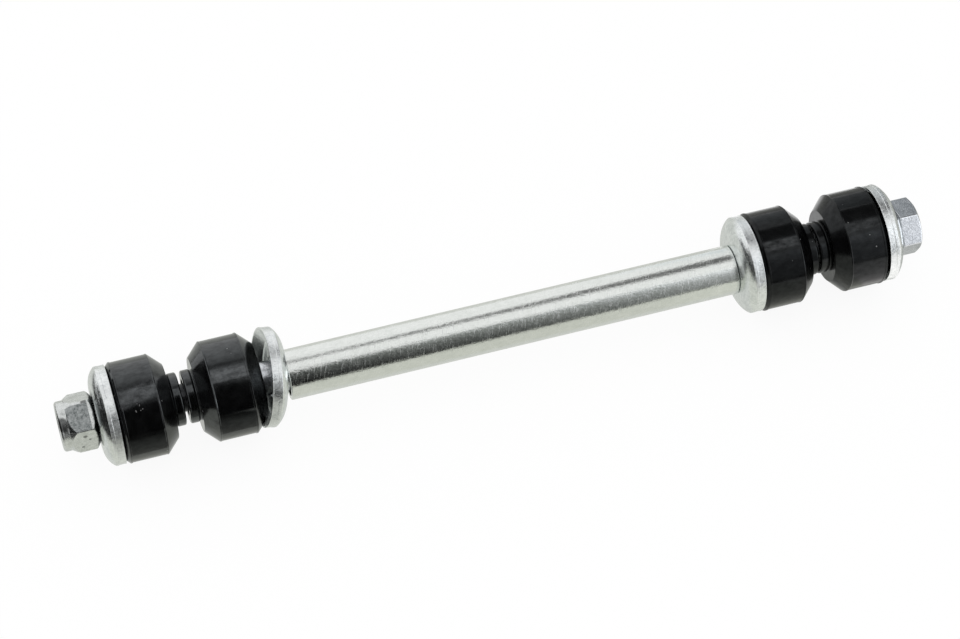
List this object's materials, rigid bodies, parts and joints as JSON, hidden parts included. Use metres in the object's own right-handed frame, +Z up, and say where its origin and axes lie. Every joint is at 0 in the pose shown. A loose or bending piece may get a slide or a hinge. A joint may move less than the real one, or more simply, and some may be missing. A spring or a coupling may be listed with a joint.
{
  "type": "stabilizer link",
  "caption": "Long through-bolt with a steel spacer sleeve and, at both ends, rubber bushings in cup washers that clamp a stabilizer bar to a suspension arm.",
  "frame": {"origin": "on the bolt's axis, at the middle of the link's overall length", "axes": "+X along the bolt from the lock nut to the bolt head, +Z up as the link lies on a table"},
  "size_m": [0.26, 0.0296, 0.0296],
  "materials": {
    "bolt_zinc": "bright zinc plate",
    "cup_zinc": "bright zinc plate, pressed",
    "sleeve_zinc": "satin zinc plate, drawn lengthways",
    "nut_zinc": "dull zinc plate",
    "bush_rubber": "moulded, satin",
    "ring_nylon": "moulded nylon"
  },
  "bodies": {
    "bolt": {"link_bolt": "bolt_zinc"},
    "nut": {"lock_nut": "nut_zinc", "nylon_ring": "ring_nylon"},
    "sleeve": {"spacer_sleeve": "sleeve_zinc"},
    "cup_head_outer": {"cup_head_outer": "cup_zinc"},
    "cup_head_inner": {"cup_head_inner": "cup_zinc"},
    "cup_nut_inner": {"cup_nut_inner": "cup_zinc"},
    "cup_nut_outer": {"cup_nut_outer": "cup_zinc"},
    "bush_head_outer": {"bush_head_outer": "bush_rubber"},
    "bush_head_inner": {"bush_head_inner": "bush_rubber"},
    "bush_nut_inner": {"bush_nut_inner": "bush_rubber"},
    "bush_nut_outer": {"bush_nut_outer": "bush_rubber"}
  },
  "joints": [
    {"name": "nut_run", "type": "slide", "parent": "bolt", "child": "cup_nut_outer", "axis": [1, 0, 0], "range_m": [-0.0061, 0.00091]},
    {"name": "nut_turn", "type": "hinge", "parent": "cup_nut_outer", "child": "nut", "pos_m": [0, 0, 0], "axis": [1, 0, 0], "range_deg": [-1440, 216]},
    {"name": "bush_nut_outer_spin", "type": "hinge", "parent": "cup_nut_outer", "child": "bush_nut_outer", "pos_m": [0, 0, 0], "axis": [1, 0, 0], "continuous": true},
    {"name": "bush_nut_inner_spin", "type": "hinge", "parent": "bolt", "child": "bush_nut_inner", "pos_m": [0, 0, 0], "axis": [1, 0, 0], "continuous": true},
    {"name": "cup_nut_inner_rock", "type": "hinge", "parent": "bolt", "child": "cup_nut_inner", "pos_m": [-0.0666, 0, -0.0004], "axis": [0, 0.9613, -0.2756], "range_deg": [-11.5, 0]},
    {"name": "sleeve_spin", "type": "hinge", "parent": "bolt", "child": "sleeve", "pos_m": [0, 0, -0.00095], "axis": [1, 0, 0], "continuous": true},
    {"name": "cup_head_inner_spin", "type": "hinge", "parent": "bolt", "child": "cup_head_inner", "pos_m": [0, 0, 0], "axis": [1, 0, 0], "continuous": true},
    {"name": "bush_head_inner_spin", "type": "hinge", "parent": "bolt", "child": "bush_head_inner", "pos_m": [0, 0, 0], "axis": [1, 0, 0], "continuous": true},
    {"name": "bush_head_outer_spin", "type": "hinge", "parent": "bolt", "child": "bush_head_outer", "pos_m": [0, 0, 0], "axis": [1, 0, 0], "continuous": true},
    {"name": "cup_head_outer_spin", "type": "hinge", "parent": "bolt", "child": "cup_head_outer", "pos_m": [0, 0, 0], "axis": [1, 0, 0], "continuous": true}
  ],
  "couplings": [
    {"joint": "nut_run", "follows": "nut_turn", "m_per_rad": 0.00023873}
  ]
}
